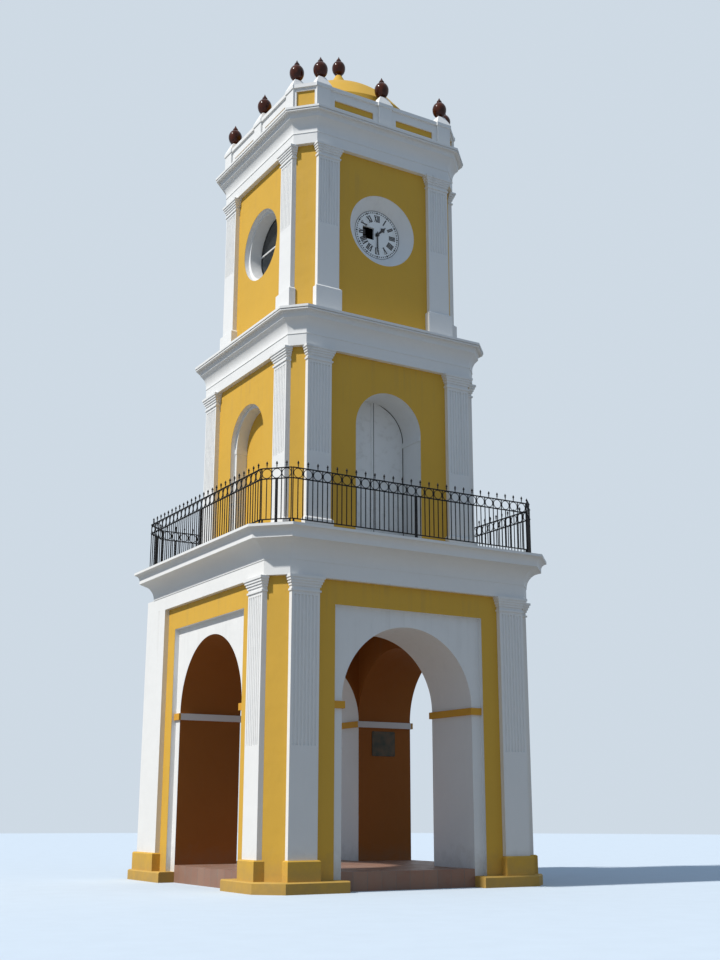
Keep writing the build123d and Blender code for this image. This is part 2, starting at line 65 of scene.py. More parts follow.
# Depths and small distances, in metres
PANEL_DEPTH = 0.1             # of the sunk panels round the ground arches
PILASTER_DEPTH = 0.1          # of the ground storey's pilasters
NICHE_DEPTH = 0.35
COURSE_DEPTH = 0.28           # how far into the arches the low course is yellow
SLAB_DEPTH = 0.1              # how far under the deck the hall's colour ends
PARAPET_PANEL = (0.03, 0.04)  # depths between which the bottom of the parapet's panels lies
LAP = 0.002                   # how far a piece is let into the next one
SEAT = 0.003                  # how far a piece in an opening is let into the face behind it
SKIN = 0.004                  # how far a colour reaches past the face that it belongs to
NEAR = 0.002                  # points this close count as level

# Thin bands on the upper cornices: reach past the cornice, foot and head over its top, depth
CORNICE_FILLETS = ((0.003, -0.045, 0.002, 0.04), (-0.012, -0.085, -0.060, 0.06))
# Line between the balcony door's leaves, where painted shade darkens the gap, and the sides of its cover
# strip, along X
DOOR_SEAM = 0.045
COVER_STRIP = (-0.015, 0.033)
# Foot and head of a window's bar, over the window's middle
WINDOW_BAR = (0.045, 0.075)
# Middle of the bare plate in the hall, along X and Z
PLAQUE_MIDDLE = (2.085, 2.815)
# How strongly the plaster of the ground storey is soiled, as the limewash takes it
GROUND_SOILING = {"patchiness": 0.10, "streaks": 0.22, "splash": 0.45, "dust": 0.3}

# Places read from the construction, in metres
hall_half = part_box("arch_front")[1].x
panel_face = -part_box("ground_floor")[0].y
wall_half = {1: panel_face + PANEL_DEPTH,
             2: -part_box("wall_2_front")[0].y, 3: -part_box("wall_3_front")[0].y}
deck_level, ledge_level, roof_level = (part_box(f"cornice_{storey}")[1].z for storey in (1, 2, 3))
eaves = [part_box(f"architrave_{storey}")[0].z for storey in (1, 2, 3)]
door_low, door_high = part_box("door_leaf_right")
door_half = door_high.x
door_spring = door_high.z - door_half
window_low, window_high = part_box("window_sashes")
window_middle = (0.0, 0.0, (window_low.z + window_high.z) / 2)
window_radius = (window_high.z - window_low.z) / 2
dial_low, dial_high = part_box("dial")
dial_radius = dial_high.x
dial_middle = (0.0, dial_low.y, (dial_low.z + dial_high.z) / 2)


def node_points(node):
    """Points of a node's mesh, one a row."""
    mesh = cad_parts[node].data
    points = np.empty(len(mesh.vertices) * 3)
    mesh.vertices.foreach_get("co", points)
    return points.reshape(-1, 3)


def span_on_face(node, half):
    """Nearest and farthest foot of a node from a side's middle, on the face at that half width."""
    points = node_points(node)
    feet = points[points[:, 2] < points[:, 2].min() + NEAR]
    reach = np.abs(feet[np.abs(np.abs(feet[:, 1]) - half) < NEAR, 0])
    return float(reach.min()), float(reach.max())


# Where the cut corners, the sunk panels, the ground pilasters and the plinths lie
panel_half, pier_edge = span_on_face("piers", wall_half[1])
corner_edge = {1: pier_edge, 2: span_on_face("wall_2_front", wall_half[2])[1],
               3: span_on_face("wall_3_front", wall_half[3])[1]}
shaft_span = span_on_face("pilasters_1", wall_half[1] + PILASTER_DEPTH)
course_top, plinth_top = np.unique(node_points("plinths")[:, 2].round(4))[[1, -1]].tolist()
course_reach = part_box("plinths")[1].x - wall_half[1]


def colour_setting(name, description, *default):
    """Colour that a user may change."""
    return FloatVectorProperty(name=name, description=description, subtype="COLOR", size=4,
                               default=(*default, 1.0), min=0, max=1)


def length_setting(name, description, default):
    """Length in metres that a user may change."""
    return FloatProperty(name=name, description=description, unit="LENGTH", default=default)


class TowerColours(bpy.types.PropertyGroup):
    """Colours of the tower's paints and finishes."""
    white: colour_setting("White", "Pilasters, mouldings, arches and reveals", 0.80, 0.80, 0.79)
    yellow: colour_setting("Yellow", "Walls, plinths, parapet panels and dome", 0.66, 0.39, 0.055)
    orange: colour_setting("Orange", "Passages and hall under the arches", 0.34, 0.112, 0.018)
    ochre: colour_setting("Ochre", "Imposts of the ground arches", 0.66, 0.33, 0.035)
    cement: colour_setting("Cement", "Balcony floor and roof", 0.42, 0.41, 0.38)
    dirt: colour_setting("Dirt", "Rain streaks, dust and splashes", 0.20, 0.17, 0.13)
    dial: colour_setting("Dial", "Enamel of the clock's dial", 0.82, 0.84, 0.84)
    iron: colour_setting("Iron", "Railing and clock hands", 0.012, 0.012, 0.014)
    glaze: colour_setting("Glaze", "Ceramic finials", 0.034, 0.008, 0.004)
    tile: colour_setting("Tile", "Paving under the arches", 0.26, 0.12, 0.075)
    backdrop: colour_setting("Backdrop", "Plain ground and sky round the tower", 0.62, 0.70, 0.78)


class TowerSizes(bpy.types.PropertyGroup):
    """Sizes of the fine pieces, in metres."""
    ring_pitch: length_setting("Ring pitch", "From one ring of the railing to the next", 0.208)
    bar_width: length_setting("Bar width", "Width of a railing bar", 0.016)
    rail_width: length_setting("Rail width", "Width of the flat rails", 0.036)
    rail_thickness: length_setting("Rail thickness", "Thickness of the flat rails", 0.016)
    ring_wire: length_setting("Ring wire", "Radius of the wire of the railing's rings", 0.0075)
    post_width: length_setting("Post width", "Width of the railing posts", 0.045)
    foot_width: length_setting("Foot width", "Width of the blocks under the railing", 0.030)
    frieze_height: length_setting("Frieze height", "Height of the band of rings", 0.200)
    spike_height: length_setting("Spike height", "Height of the spikes over the top rail", 0.130)
    bottom_rail: length_setting("Bottom rail", "Height of the bottom rail over the deck", 0.140)
    finial_height: length_setting("Finial height", "Height of a finial", 0.540)
    finial_radius: length_setting("Finial radius", "Radius of a finial at its widest", 0.158)
    numeral_height: length_setting("Numeral height", "Height of the dial's numerals", 0.155)
    numeral_foot: length_setting("Numeral foot", "Radius at the feet of the numerals", 0.300)
    dot_count: IntProperty(name="Minute dots", description="Dots round the dial", default=60)
    dot_radius: length_setting("Dot radius", "Radius of a minute dot", 0.015)
    mark_thickness: length_setting("Mark thickness", "How far marks stand off the dial", 0.002)
    impost_height: length_setting("Impost height", "Height of the small doorway imposts", 0.105)
    order_depth: length_setting("Order depth", "How far the inner orders lie behind the face", 0.11)
    order_step: length_setting("Order step", "How much narrower the inner orders are", 0.07)
    block_reach: length_setting("Block reach", "How far a plinth block stands round its pilaster", 0.035)
    block_bevel: length_setting("Block bevel", "Sloped edge along the top of a plinth block", 0.022)
    plaque_width: length_setting("Plaque width", "Width of the bare plate in the hall", 0.60)
    plaque_height: length_setting("Plaque height", "Height of the bare plate in the hall", 0.54)


# Shapes: each function returns an array of vertices and a list of faces, each loop function its points

def grid_faces(rows, columns, close_rows=False, close_columns=False):
    """Quads between the points of a grid whose point (i, j) has the number i * columns + j."""
    i = np.arange(rows if close_rows else rows - 1)[:, None]
    j = np.arange(columns if close_columns else columns - 1)[None, :]
    i_next, j_next = (i + 1) % rows, (j + 1) % columns
    corners = [i * columns + j, i * columns + j_next, i_next * columns + j_next, i_next * columns + j]
    return np.stack(np.broadcast_arrays(*corners), axis=-1).reshape(-1, 4).tolist()


def grid_points(x, y, z):
    """Points of a grid, one a row, from arrays of their coordinates."""
    return np.stack(np.broadcast_arrays(x, y, z), axis=-1).reshape(-1, 3)


def around(count):
    """Equal steps of angle round a full turn, from 0."""
    return np.arange(count) * 2 * pi / count


def turned(profile, sides):
    """Profile of (radius, height) points turned about Z: x = r cos a, y = r sin a, z = h.

    The first and last points lie on the axis and become the two poles.
    """
    profile = np.asarray(profile, dtype=float)
    angle = around(sides)
    radius, height = profile[1:-1, :1], profile[1:-1, 1:]
    rings = grid_points(radius * np.cos(angle), radius * np.sin(angle), height)
    rows = len(profile) - 2
    poles = [(0, 0, profile[0, 1]), (0, 0, profile[-1, 1])]
    here = np.arange(sides)
    after = (here + 1) % sides
    top = (rows - 1) * sides
    low_fan = np.stack([np.full(sides, rows * sides), after, here], axis=-1)
    high_fan = np.stack([np.full(sides, rows * sides + 1), top + here, top + after], axis=-1)
    faces = grid_faces(rows, sides, close_columns=True) + low_fan.tolist() + high_fan.tolist()
    return np.concatenate([rings, poles]), faces


def ring(radius, wire, segments=28, sides=6):
    """Ring in the XZ plane: x = (R + r cos v) cos u, y = r sin v, z = (R + r cos v) sin u."""
    u, v = around(segments)[:, None], around(sides)[None, :]
    reach = radius + wire * np.cos(v)
    points = grid_points(reach * np.cos(u), wire * np.sin(v), reach * np.sin(u))
    return points, grid_faces(segments, sides, True, True)


def carried(sections, closed=False):
    """Body through equal loops of points, shaped (sections, points, 3), with flat ends unless closed.

    A loop runs counter-clockwise when it is seen from the path's far end, looking back.
    """
    sections = np.asarray(sections, dtype=float)
    rows, columns = sections.shape[:2]
    faces = grid_faces(rows, columns, closed, True)
    if not closed:
        start, end = np.arange(columns)[::-1], (rows - 1) * columns + np.arange(columns)
        faces += [start.tolist(), end.tolist()]
    return sections.reshape(-1, 3), faces


def extruded(loop, axis, places):
    """Flat loop carried along an axis (0 for X, 1 for Y, 2 for Z) from the first place to the last."""
    loop = np.asarray(loop, dtype=float)
    return carried([np.insert(loop, axis, place, axis=1) for place in places])


def box_loop(x0, y0, x1, y1):
    """Corners (x, y) of a rectangle."""
    return np.array([(x0, y0), (x1, y0), (x1, y1), (x0, y1)], dtype=float)


def octagon_loop(width, depth, cut):
    """Rectangle about the middle with its corners cut off."""
    x, y = width / 2, depth / 2
    return np.array([(x, cut - y), (x, y - cut), (x - cut, y), (cut - x, y),
                     (-x, y - cut), (-x, cut - y), (cut - x, -y), (x - cut, -y)])


def bar_loop(width, depth):
    """Section of a bar, with its corners cut off by a share of its smaller side."""
    return octagon_loop(width, depth, 0.12 * min(width, depth))


def block(low, high):
    """Box from its lowest to its highest corner."""
    return extruded(box_loop(*low[:2], *high[:2]), 2, (low[2], high[2]))


def upright(width, foot, head):
    """Square bar from Z = foot to Z = head."""
    return extruded(bar_loop(width, width), 2, (foot, head))


def rail(length, width, thickness, top):
    """Flat rail along X under Z = top."""
    return extruded(bar_loop(width, thickness) + (0, top - thickness / 2), 0, (-length / 2, length / 2))


def plate(loop, thickness):
    """Flat shape on the XZ plane, its loop (x, z) carried from Y = 0 to Y = -thickness."""
    return extruded(loop, 1, (0.0, -thickness))


def bevelled(outline, foot, head, bevel):
    """Upright body with a sloped top edge; outline(inset) is its loop (x, y), drawn in by the inset."""
    sections = ((0.0, foot), (0.0, head - bevel), (bevel, head))
    return carried([np.insert(outline(inset), 2, z, axis=1) for inset, z in sections])


def corner_leg(storey, reach):
    """Leg of a cut corner, `reach` outside a storey's wall: it grows by (2 - sqrt 2) of the reach."""
    return wall_half[storey] - corner_edge[storey] + (2 - sqrt(2)) * reach


def pier_loop(reach, square=False):
    """Outline of the pier where x and y are positive, `reach` outside its wall."""
    outer = wall_half[1] + reach
    inner = outer - corner_leg(1, reach)
    corner = [(outer, outer)] if square else [(outer, inner), (inner, outer)]
    return np.array([(hall_half, hall_half), (outer, hall_half), *corner, (hall_half, outer)])


def plan_loop(storey, reach):
    """Outline of a storey's square plan with cut corners, `reach` outside its wall."""
    outer = wall_half[storey] + reach
    inner = outer - corner_leg(storey, reach)
    return np.array([(-inner, -outer), (inner, -outer), (outer, -inner), (outer, inner),
                     (inner, outer), (-inner, outer), (-outer, inner), (-outer, -inner)])


def fillet(storey, reach, low, high, depth):
    """Flat band round a storey, `reach` outside its wall, let into the moulding by its depth."""
    profile = ((reach, low), (reach - depth, low), (reach - depth, high), (reach, high))
    sections = np.stack([np.insert(plan_loop(storey, out), 2, z, axis=1) for out, z in profile], axis=1)
    return carried(sections, closed=True)


def lining(outer, inner, near, far, closed=False):
    """Band round an opening between two equal lines of points (x, z), from Y = -near back to Y = -far.

    The lines run clockwise when they are seen from the front.
    """
    corners = ((outer, near), (inner, near), (inner, far), (outer, far))
    sections = np.stack([np.insert(line, 1, -depth, axis=1) for line, depth in corners], axis=1)
    return carried(sections, closed)


def arch_line(half, foot, spring, sides=32):
    """Left jamb, half circle and right jamb of an opening, as points (x, z)."""
    angle = np.linspace(pi, 0, sides + 1)
    curve = np.column_stack([half * np.cos(angle), spring + half * np.sin(angle)])
    return np.concatenate([[(-half, foot)], curve, [(half, foot)]])


def disc_loop(radius, sides=16):
    """Circle of points: x = r cos a, z = r sin a."""
    return radius * np.column_stack([np.cos(around(sides)), np.sin(around(sides))])


def stroke_loop(start, end, width):
    """Corners of a straight stroke of a given width between two points (x, z)."""
    start, end = np.array(start, dtype=float), np.array(end, dtype=float)
    along = (end - start) / np.linalg.norm(end - start)
    aside = np.array([along[1], -along[0]]) * width / 2
    return [start + aside, end + aside, end - aside, start - aside]


def copies(shape, places, angles=0.0):
    """Joins copies of a shape, each turned about Z by its angle and then moved to its place."""
    vertices, faces = shape
    places = np.atleast_2d(np.asarray(places, dtype=float))
    angles = np.broadcast_to(angles, len(places))[:, None]
    x, y, z = vertices.T[:, None, :]
    turned_x = x * np.cos(angles) - y * np.sin(angles)
    turned_y = x * np.sin(angles) + y * np.cos(angles)
    turned_z = np.broadcast_to(z, turned_x.shape)
    points = np.stack([turned_x, turned_y, turned_z], axis=-1) + places[:, None, :]
    shifts = (np.arange(len(places)) * len(vertices)).tolist()
    all_faces = [[corner + shift for corner in face] for shift in shifts for face in faces]
    return points.reshape(-1, 3), all_faces


def on_sides(shape, numbers, middle=(0.0, 0.0, 0.0)):
    """Copies of a piece of the front at quarter turns with these numbers, about a middle."""
    angles = np.array(numbers) * pi / 2
    return copies(shape, [middle] * len(angles), angles)


def joined(*shapes):
    """Puts several shapes into one."""
    vertices, faces, count = [], [], 0
    for points, corners in shapes:
        vertices.append(points)
        faces += [[corner + count for corner in face] for face in corners]
        count += len(points)
    return np.concatenate(vertices), faces


def spike(height):
    """Railing spike: a thin rod, a collar and a spear head, as shares of its height."""
    profile = np.array([(0.0, 0.0), (0.065, 0.0), (0.060, 0.30), (0.115, 0.34), (0.115, 0.41),
                        (0.060, 0.45), (0.080, 0.50), (0.165, 0.64), (0.115, 0.80), (0.025, 0.99),
                        (0.0, 1.0)])
    return turned(profile * height, sides=10)


def railing_panel(length, rail_top, sizes):
    """Railing panel along X, standing on Z = 0, from end to end with rings between its uprights.

    The rings divide the length evenly. A bar stands at every end of a ring and under its middle, a spike
    over its middle, a post at the middle of the panel and a foot near each end.
    """
    count = max(1, round(length / sizes.ring_pitch))
    inside = length - sizes.bar_width
    ends = np.linspace(-inside / 2, inside / 2, count + 1)
    middles = (ends[1:] + ends[:-1]) / 2
    foot_inset, base_height = 0.02, 0.02
    frieze_foot = rail_top - sizes.frieze_height
    ring_height = rail_top - (sizes.frieze_height + sizes.rail_thickness) / 2
    ring_radius = (sizes.frieze_height - sizes.rail_thickness) / 2 - sizes.ring_wire / 2
    bar_foot = sizes.bottom_rail - LAP

    def along(shape, places, height=0.0):
        return copies(shape, [(x, 0.0, height) for x in places])

    rails = [rail(length, sizes.rail_width, sizes.rail_thickness, top)
             for top in (sizes.bottom_rail, frieze_foot, rail_top)]
    return joined(*rails, along(upright(sizes.bar_width, bar_foot, rail_top - LAP), ends),
                  along(upright(sizes.bar_width, bar_foot, frieze_foot - LAP), middles),
                  along(ring(ring_radius, sizes.ring_wire), middles, ring_height),
                  along(spike(sizes.spike_height), middles, rail_top - LAP / 2),
                  upright(sizes.post_width, 0.0, frieze_foot - LAP),
                  upright(2 * sizes.post_width, 0.0, base_height),
                  along(upright(sizes.foot_width, 0.0, sizes.bottom_rail - 2 * LAP),
                        (ends[0] + foot_inset, ends[-1] - foot_inset)))


def finial_shape(height, radius, sides=40):
    """Egg-shaped finial turned on its axis: foot, elliptic bowl, rounded shoulder, pointed knob.

    The bowl is r = a + (R - a) sqrt(1 - (1 - s)^2), the shoulder r = c + (R - c) (1 - s^2)^0.75 and the
    knob's point r = k (1 - s)^1.3, with s from 0 to 1 along each.
    """
    foot, neck, collar, knob = np.array([0.50, 0.34, 0.30, 0.37]) * radius
    bowl_foot, widest, collar_height, knob_height = np.array([0.085, 0.41, 0.735, 0.79]) * height
    s = np.linspace(0, 1, 13)[1:]
    bowl = np.column_stack([neck + (radius - neck) * np.sqrt(1 - (1 - s)**2),
                            bowl_foot + s * (widest - bowl_foot)])
    shoulder = np.column_stack([collar + (radius - collar) * (1 - s**2)**0.75,
                                widest + s * (collar_height - widest)])
    point = np.column_stack([knob * (1 - s[:-1])**1.3, knob_height + s[:-1] * (height - knob_height)])
    start = [(0, 0), (0.96 * foot, 0), (foot, 0.006), (foot, 0.045 * height),
             (0.92 * foot, 0.058 * height), (neck, 0.070 * height), (neck, bowl_foot)]
    bulge = [(0.92 * knob, 0.75 * height), (knob, 0.77 * height), (knob, knob_height)]
    return turned(np.concatenate([start, bowl, shoulder, bulge, point, [(0, height)]]), sides)


# Each letter's width as a share of its height, and its strokes: start, end (shares of both), weight
LETTERS = {"I": (0.22, [((0.5, 0), (0.5, 1), 1.0)]),
           "V": (0.45, [((0.12, 1), (0.5, 0), 1.0), ((0.88, 1), (0.5, 0), 0.45)]),
           "X": (0.47, [((0.12, 1), (0.88, 0), 1.0), ((0.88, 1), (0.12, 0), 0.45)])}
NUMERALS = ("XII", "I", "II", "III", "IIII", "V", "VI", "VII", "VIII", "IX", "X", "XI")


def numeral(text, height, thickness):
    """Roman numeral on the XZ plane, its feet on Z = 0 and its middle on X = 0."""
    weight, serif = 0.175 * height, 0.04 * height
    width = sum(LETTERS[letter][0] for letter in text) * height
    strokes, x = [], -width / 2
    for letter in text:
        share, lines = LETTERS[letter]
        for (x0, z0), (x1, z1), boldness in lines:
            start = (x + x0 * share * height, z0 * height)
            end = (x + x1 * share * height, z1 * height)
            strokes.append(plate(stroke_loop(start, end, weight * boldness), thickness))
        x += share * height
    # The serifs stand a little lower than the strokes, so that no two faces coincide
    for z in (serif / 2, height - serif / 2):
        strokes.append(plate(stroke_loop((-width / 2, z), (width / 2, z), serif), 0.8 * thickness))
    return joined(*strokes)


def on_dial(shape, radius, angle):
    """Shape stood over the dial's middle at a radius, then turned clockwise about it by an angle."""
    vertices, faces = shape
    x, y, z = (vertices + (0.0, 0.0, radius)).T
    cos, sin = np.cos(angle), np.sin(angle)
    return np.column_stack([x * cos + z * sin, y, z * cos - x * sin]) + dial_middle, faces


def add_piece(name, shape, material, replaced=(), sharp=35.0):
    """Makes a piece of a shape with a material, and rides it on the tower.

    Edges that turn by more than `sharp` degrees stay sharp.
    """
    vertices, faces = shape
    mesh = bpy.data.meshes.new(name)
    mesh.from_pydata(vertices.tolist(), [], faces)
    mesh.shade_smooth()
    mesh.set_sharp_from_angle(angle=radians(sharp))
    mesh.materials.append(material)
    piece = bpy.data.objects.new(name, mesh)
    bpy.context.scene.collection.objects.link(piece)
    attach(piece, "tower")
    if replaced:
        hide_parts(*replaced)


# Shader nodes: each function adds nodes to a tree and returns what they put out

class Value:
    """Number or colour that a tree works out. Sums, products and comparisons with it add Math nodes."""

    def __init__(self, tree, socket):
        self.tree, self.socket = tree, socket

    def __add__(self, other):
        return math_node("ADD", self, other)

    def __radd__(self, other):
        return math_node("ADD", other, self)

    def __sub__(self, other):
        return math_node("SUBTRACT", self, other)

    def __rsub__(self, other):
        return math_node("SUBTRACT", other, self)

    def __mul__(self, other):
        return math_node("MULTIPLY", self, other)

    def __truediv__(self, other):
        return math_node("DIVIDE", self, other)

    def __abs__(self):
        return math_node("ABSOLUTE", self)

    def __lt__(self, other):
        return math_node("LESS_THAN", self, other)

    def __gt__(self, other):
        return math_node("GREATER_THAN", self, other)


def feed(value, socket):
    """Links a value to a socket, or sets a plain number or colour on it."""
    if isinstance(value, Value):
        value.tree.links.new(value.socket, socket)
    else:
        socket.default_value = value


def feed_named(sockets, **values):
    """Feeds values to the sockets of these names, where _ stands for a space."""
    for label, value in values.items():
        feed(value, sockets[label.replace("_", " ")])


def new_node(kind, values):
    """Adds a node to the tree that the first Value among these belongs to, and returns both."""
    tree = next(value.tree for value in values if isinstance(value, Value))
    return tree, tree.nodes.new(kind)


def math_node(operation, *values, clamp=False):
    """Adds a Math node and returns its result."""
    tree, node = new_node("ShaderNodeMath", values)
    node.operation, node.use_clamp = operation, clamp
    for value, socket in zip(values, node.inputs):
        feed(value, socket)
    return Value(tree, node.outputs[0])


def mix(factor, first, second, blend="MIX"):
    """Adds a colour Mix node and returns its result."""
    tree, node = new_node("ShaderNodeMix", (factor, first, second))
    node.data_type, node.blend_type = "RGBA", blend
    for value, number in ((factor, 0), (first, 6), (second, 7)):
        feed(value, node.inputs[number])
    return Value(tree, node.outputs[2])


def ramp(value, low, high, out_low=0.0, out_high=1.0):
    """Adds a clamped Map Range node from one span to another and returns its result."""
    tree, node = new_node("ShaderNodeMapRange", (value,))
    for number, socket in zip((value, low, high, out_low, out_high), node.inputs):
        feed(number, socket)
    return Value(tree, node.outputs[0])


def components(tree, kind="ShaderNodeTexCoord", label="Object"):
    """The x, y and z of a new node's vector: of Object coordinates, unless another is named."""
    split = tree.nodes.new("ShaderNodeSeparateXYZ")
    tree.links.new(tree.nodes.new(kind).outputs[label], split.inputs[0])
    return [Value(tree, socket) for socket in split.outputs]


def noise(tree, scale, detail=3.0, roughness=0.55, stretch=(1.0, 1.0, 1.0)):
    """Adds a Noise texture on scaled Object coordinates and returns its grey value, 0 to 1."""
    mapping, node = tree.nodes.new("ShaderNodeMapping"), tree.nodes.new("ShaderNodeTexNoise")
    tree.links.new(tree.nodes.new("ShaderNodeTexCoord").outputs["Object"], mapping.inputs["Vector"])
    tree.links.new(mapping.outputs[0], node.inputs["Vector"])
    feed_named(mapping.inputs, Scale=stretch)
    feed_named(node.inputs, Scale=scale, Detail=detail, Roughness=roughness)
    return Value(tree, node.outputs["Fac"])


def new_group(name, outputs, **inputs):
    """Starts a shader node group; returns its tree, its inputs' values by name and its output sockets.

    What is called a colour is one, and everything else is a number.
    """
    tree = bpy.data.node_groups.new(name, "ShaderNodeTree")

    def add_socket(label, way):
        kind = "NodeSocketColor" if label.endswith("Colour") else "NodeSocketFloat"
        return tree.interface.new_socket(label, in_out=way, socket_type=kind)

    for label, default in inputs.items():
        add_socket(label.replace("_", " "), "INPUT").default_value = default
    for label in outputs:
        add_socket(label, "OUTPUT")
    given = {socket.name: Value(tree, socket) for socket in tree.nodes.new("NodeGroupInput").outputs}
    return tree, given, tree.nodes.new("NodeGroupOutput").inputs


def use_group(tree, name, **values):
    """Places a node group in a tree with its own values and returns what it puts out, by name."""
    node = tree.nodes.new("ShaderNodeGroup")
    node.node_tree = bpy.data.node_groups[name]
    feed_named(node.inputs, **values)
    return {socket.name: Value(tree, socket) for socket in node.outputs}


def make_plan_group():
    """Where a point lies in plan: |x|, |y|, height, and how far it is outside a square with cut corners.

    That distance is the largest of |x| - half, |y| - half and (|x| + |y| - half - edge) / sqrt 2.
    """
    tree, given, result = new_group("plan_zone", ("Outside", "Across", "Deep", "Height"),
                                    Half=2.9, Edge=2.6)
    x, y, height = components(tree)
    across, deep = abs(x), abs(y)
    off_square = math_node("MAXIMUM", across, deep) - given["Half"]
    off_corner = (across + deep - (given["Half"] + given["Edge"])) / sqrt(2)
    feed_named(result, Outside=math_node("MAXIMUM", off_square, off_corner), Across=across, Deep=deep,
               Height=height)


def plan_zone(tree, half, edge):
    """Where a point lies, from a square of that half width whose faces end at that edge."""
    return use_group(tree, "plan_zone", Half=half, Edge=edge)


def make_limewash_group(dirt):
    """Brushed paint on plaster: patchy tone, rain streaks under the eaves, splashes and dust.

    Streaks are noise stretched down the wall, strongest just under each storey's eaves. Splashes fade
    out above the ground and dust lies where the surface faces up. Height is in metres: slow waves of the
    plaster, brush marks and sand grain.
    """
    tree, given, result = new_group("limewash", ("Colour", "Roughness", "Height"),
                                    Colour=(0.8, 0.8, 0.8, 1), Patchiness=0.08, Streaks=0.2,
                                    Splash=0.4, Dust=0.3)
    height = components(tree)[2]
    patches = noise(tree, 0.9, 4.0, 0.6)
    strokes = noise(tree, 9.0, 4.0, 0.65, (1.0, 1.0, 0.35))
    tone = patches - 0.5 + (strokes - 0.5) * 0.55
    toned = tree.nodes.new("ShaderNodeVectorMath")
    toned.operation = "SCALE"
    feed(given["Colour"], toned.inputs[0])
    feed(tone * given["Patchiness"] + 1.0, toned.inputs["Scale"])
    under_eaves, above_eaves, streak_length = 0.0, 0.02, 1.9
    for level in eaves:
        below = level + above_eaves - height
        under_eaves += ramp(below, 0.0, streak_length, 1.0, 0.0) * (below > 0.0)
    runs = ramp(noise(tree, 1.0, 4.0, 0.6, (7.0, 7.0, 0.22)), 0.50, 0.72)
    broken = ramp(noise(tree, 1.7, 3.0), 0.35, 0.65)
    streak = runs * broken * (math_node("MINIMUM", under_eaves, 1.0) * given["Streaks"])
    ragged, full_splash, no_splash = height + noise(tree, 5.0, 5.0, 0.65) * 0.9, 0.35, 1.15
    splash = ramp(ragged, full_splash, no_splash, 1.0, 0.0) * given["Splash"]
    upward = ramp(components(tree, "ShaderNodeNewGeometry", "Normal")[2], 0.6, 0.95)
    dust = upward * ramp(patches, 0.3, 0.7, 0.5, 1.0) * given["Dust"]
    soiled = math_node("MAXIMUM", streak, math_node("MAXIMUM", splash, dust), clamp=True)
    relief = noise(tree, 2.2, 2.0) * 0.012 + strokes * 0.0022 + noise(tree, 140.0, 2.0) * 0.0005
    feed_named(result, Colour=mix(soiled, Value(tree, toned.outputs[0]), dirt),
               Roughness=ramp(strokes, 0.2, 0.8, 0.62, 0.82), Height=relief)


def make_brushed_group():
    """Brushed paint: small changes of roughness, worn patches and the marks of the brush."""
    tree, given, result = new_group("brushed_paint", ("Colour", "Roughness", "Height"),
                                    Colour=(0.5, 0.5, 0.5, 1), Wear_Colour=(0.2, 0.2, 0.2, 1),
                                    Wear=0.2, Roughness=0.4)
    patches = noise(tree, 6.0, 5.0, 0.6)
    fine = noise(tree, 60.0, 3.0, stretch=(1.0, 1.0, 0.25))
    worn = ramp(patches, 0.52, 0.72) * given["Wear"]
    feed_named(result, Colour=mix(worn, given["Colour"], given["Wear Colour"]),
               Roughness=given["Roughness"] + patches * 0.25, Height=fine * 0.0003 + patches * 0.0006)


# Paints: the colour of one material, from the tower's colours and the place of a point

def plinth_paint(colours, tree):
    """Plinths: the ground storey's paint, with yellow that runs on into the arches on the low course."""
    zone = plan_zone(tree, wall_half[1], corner_edge[1])
    low = (zone["Height"] < course_top + NEAR) * (zone["Outside"] > -COURSE_DEPTH)
    return mix(low, ground_paint(colours, tree), colours.yellow)


def ground_paint(colours, tree):
    """Ground storey: yellow on the outer face, orange in the cross passage, white elsewhere."""
    zone = plan_zone(tree, wall_half[1], corner_edge[1])
    in_passage = (zone["Deep"] < hall_half + SKIN) * (zone["Across"] < panel_face - SKIN)
    inside = mix(in_passage, colours.white, colours.orange)
    return mix(zone["Outside"] > -SKIN, inside, colours.yellow)


def impost_paint(colours, tree):
    """Imposts: white on the jambs of the cross passage, ochre elsewhere."""
    zone = plan_zone(tree, wall_half[1], corner_edge[1])
    on_jamb = (zone["Across"] - zone["Deep"] > 0.0) * (zone["Across"] < panel_face)
    return mix(on_jamb, colours.ochre, colours.white)


def hall_paint(colours, tree):
    """Architrave and slab over the hall: orange inside, cement on the deck, white elsewhere."""
    zone = plan_zone(tree, hall_half, hall_half)
    inside = (zone["Outside"] < SKIN) * (zone["Height"] < deck_level - SLAB_DEPTH)
    walls = mix(inside, colours.white, colours.orange)
    return mix(zone["Height"] > deck_level - NEAR, walls, colours.cement)


def storey_paint(colours, storey, niche, tree):
    """Upper wall: yellow on its face and at the back of a niche, white in the reveals."""
    zone = plan_zone(tree, wall_half[storey], corner_edge[storey])
    face = math_node("MAXIMUM", zone["Outside"] > -SKIN, abs(zone["Outside"] + niche) < SKIN)
    return mix(face, colours.white, colours.yellow)


def parapet_paint(colours, half, edge, tree):
    """Parapet: white, with yellow at the bottom of the sunk panels."""
    zone = plan_zone(tree, half, edge)
    sunk = (zone["Outside"] < -PARAPET_PANEL[0]) * (zone["Outside"] > -PARAPET_PANEL[1])
    return mix(sunk, colours.white, colours.yellow)


def roof_paint(colours, tree):
    """Top cornice: white mouldings and a cement roof inside the parapet."""
    return mix(components(tree)[2] > roof_level - NEAR, colours.white, colours.cement)


# Surfaces: the colour, roughness and height in metres of one material

WOOD_WEAR = (0.34, 0.31, 0.26, 1)


